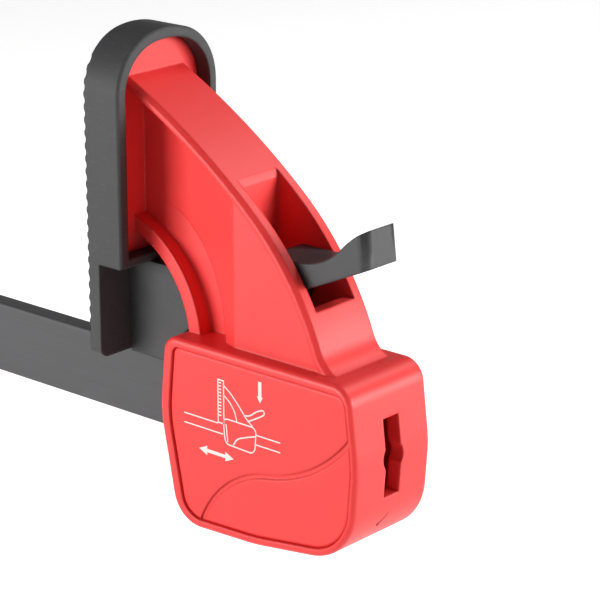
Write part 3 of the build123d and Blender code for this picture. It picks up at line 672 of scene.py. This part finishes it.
class CLAMP_OT_lever(bpy.types.Operator):
    """Round the corners of the thumb lever's tail as seen from above"""

    bl_idname = "clamp.lever"
    bl_label = "Lever"

    def execute(self, context):
        look = context.scene.clamp_looks
        piece = add_lever(dark_moulding(look, look.edge))
        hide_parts("release_lever")
        return {"FINISHED"}


def add_lever(plastic):
    """A merged copy of the lever, cut by planes along its slanted end, whose sides draw in to round corners.

    With d the distance to the end's plane and R the corner's radius, |y| is at most
    half - R + sqrt(R^2 - (R - d)^2) where d is less than R."""
    shape = bmesh.new()
    shape.from_mesh(nodes["release_lever"].data)
    bmesh.ops.remove_doubles(shape, verts=shape.verts, dist=MERGE)
    square = Vector(LEVER_END_SQUARE).normalized()
    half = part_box("release_lever")[1].y
    reach = max(v.co.dot(square) for v in shape.verts)
    for part in LEVER_CUTS:
        everything = shape.verts[:] + shape.edges[:] + shape.faces[:]
        plane = square * (reach - part * LEVER_TAIL_R)
        bmesh.ops.bisect_plane(shape, geom=everything, plane_co=plane, plane_no=square)
    mesh = bpy.data.meshes.new("rounded_lever")
    shape.to_mesh(mesh)
    shape.free()
    points = np.empty(len(mesh.vertices) * 3)
    mesh.vertices.foreach_get("co", points)
    points = points.reshape(-1, 3)
    inward = np.clip(LEVER_TAIL_R - (reach - points @ np.array(square)), 0, LEVER_TAIL_R)
    limit = half - LEVER_TAIL_R + np.sqrt(LEVER_TAIL_R**2 - inward**2)
    points[:, 1] = np.clip(points[:, 1], -limit, limit)
    mesh.vertices.foreach_set("co", points.ravel())
    mesh.materials.append(plastic)
    piece = bpy.data.objects.new("rounded_lever", mesh)
    bpy.context.scene.collection.objects.link(piece)
    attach(piece, "release_lever")
    return piece


class CLAMP_OT_springs(bpy.types.Operator):
    """Wind the three compression springs from round wire"""

    bl_idname = "clamp.springs"
    bl_label = "Springs"

    def execute(self, context):
        look = context.scene.clamp_looks
        wire_steel = plain_steel(look, 0.0)
        for node, wire, turns, body, joint, still_high, keep in SPRINGS:
            low, high = [np.array(corner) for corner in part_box(node)]
            path, outward = spring_path(low, high, wire * MM, turns)
            vertices, faces = tube(path, outward, wire * MM)
            piece = add_piece("round_" + node, vertices, faces, wire_steel, body, True, True)
            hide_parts(node)
            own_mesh(piece)
        return {"FINISHED"}


class CLAMP_OT_screws(bpy.types.Operator):
    """Turn the four shell screws, with a cross recess in each head"""

    bl_idname = "clamp.screws"
    bl_label = "Screws"

    def execute(self, context):
        look = context.scene.clamp_looks
        vertices, faces = joined([screw(*seat) for seat in SCREW_SEATS])
        steel = plain_steel(look, 0.0)
        piece = add_piece("cross_screws", vertices, faces, steel, "trigger_head", False, True)
        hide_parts("shell_screws")
        return {"FINISHED"}


class CLAMP_OT_stage(bpy.types.Operator):
    """Make the floor, the soft studio light and the camera"""

    bl_idname = "clamp.stage"
    bl_label = "Stage"

    def execute(self, context):
        add_floor()
        add_world(context.scene)
        add_lamps(context.scene)
        add_camera(context.scene)
        return {"FINISHED"}


def add_floor():
    """A plain pale floor far round the clamp, whose border rises as a low backdrop.

    Its height over the flat at a radius r in metres is rise max(r - flat, 0)^2."""
    low = cad_box[0].z - FLOOR_GAP
    border = np.linspace(FLOOR_FLAT_R + 0.1, FLOOR_END_R, 10)
    radius = np.concatenate([[0.001], np.linspace(0.3, FLOOR_FLAT_R, 5), border])[:, None]
    angle = np.linspace(0, 2 * pi, FLOOR_SIDES, endpoint=False)[None]
    height = low + FLOOR_RISE * np.maximum(radius - FLOOR_FLAT_R, 0) ** 2 + 0 * angle
    points = np.stack([radius * np.cos(angle), radius * np.sin(angle), height], axis=2).reshape(-1, 3)
    faces = grid_faces(len(radius), FLOOR_SIDES, wrap_columns=True).tolist() + [list(range(FLOOR_SIDES))]
    mesh = bpy.data.meshes.new("floor")
    mesh.from_pydata(points.tolist(), [], faces)
    mesh.polygons.foreach_set("use_smooth", np.full(len(mesh.polygons), True))
    floor = bpy.data.objects.new("floor", mesh)
    bpy.context.scene.collection.objects.link(floor)
    finish = Finish("floor")
    paper = finish.mix(finish.noise(3.0, 2.0), (0.88, 0.88, 0.88, 1.0), (0.92, 0.92, 0.92, 1.0))
    finish.feed(finish.shader.inputs["Emission Color"], finish.seen())
    mesh.materials.append(finish.finished(paper, 0.9, Emission_Strength=FLOOR_GLOW))


def add_world(scene):
    """A dim even surround."""
    world = bpy.data.worlds.new("studio")
    world.use_nodes = True
    background = world.node_tree.nodes["Background"]
    background.inputs["Color"].default_value = (1.0, 1.0, 1.0, 1.0)
    background.inputs["Strength"].default_value = WORLD_LIGHT
    scene.world = world


def add_lamps(scene):
    """Two low soft banks, one for each side that the camera sees, and a weaker one high behind."""
    for name, spot, size, power in LAMPS:
        lamp = bpy.data.lights.new(name, "AREA")
        lamp.shape = "RECTANGLE"
        lamp.size, lamp.size_y = size
        lamp.energy = power
        holder = bpy.data.objects.new(name, lamp)
        holder.location = spot
        aim = Vector(LAMP_AIM) - Vector(spot)
        holder.rotation_euler = aim.to_track_quat("-Z", "Y").to_euler()
        scene.collection.objects.link(holder)


def add_camera(scene):
    """The camera at the place and angle that the photograph was fitted to."""
    camera = bpy.data.cameras.new("camera")
    camera.lens = CAMERA_LENS
    camera.sensor_width = 36.0
    camera.clip_start = 0.05
    camera.clip_end = 50.0
    holder = bpy.data.objects.new("camera", camera)
    holder.location = CAMERA_SPOT
    turn = Matrix.Rotation(radians(CAMERA_TURN), 4, "Z")
    dip = Matrix.Rotation(radians(90.0 - CAMERA_DIP), 4, "X")
    holder.rotation_euler = (turn @ dip).to_euler()
    scene.collection.objects.link(holder)
    scene.camera = holder
    scene.view_settings.view_transform = "Standard"


class CLAMP_PT_panel(bpy.types.Panel):
    """Lists the clamp's steps in the sidebar"""

    bl_idname = "CLAMP_PT_panel"
    bl_label = "Bar clamp"
    bl_space_type = "VIEW_3D"
    bl_region_type = "UI"
    bl_category = "Bar clamp"

    def draw(self, context):
        look = context.scene.clamp_looks
        for name in ("red", "rubber", "dark", "bar", "steel", "ink", "edge", "line"):
            self.layout.prop(look, name)
        for operator in OPERATORS:
            self.layout.operator(operator.bl_idname)


OPERATORS = (
    CLAMP_OT_finishes,
    CLAMP_OT_lever,
    CLAMP_OT_springs,
    CLAMP_OT_screws,
    CLAMP_OT_side_print,
    CLAMP_OT_gate_mark,
    CLAMP_OT_stage,
)


def register():
    """Registers the settings, the operators and the panel."""
    for made in (Looks, *OPERATORS, CLAMP_PT_panel):
        bpy.utils.register_class(made)
    bpy.types.Scene.clamp_looks = PointerProperty(type=Looks)


def unregister():
    """Takes out what register put in."""
    del bpy.types.Scene.clamp_looks
    for made in reversed((Looks, *OPERATORS, CLAMP_PT_panel)):
        bpy.utils.unregister_class(made)


def main():
    """Builds everything in order."""
    register()
    bpy.ops.clamp.finishes()
    bpy.ops.clamp.lever()
    bpy.ops.clamp.springs()
    bpy.ops.clamp.screws()
    bpy.ops.clamp.side_print()
    bpy.ops.clamp.gate_mark()
    bpy.ops.clamp.stage()


if __name__ == "__main__":
    main()
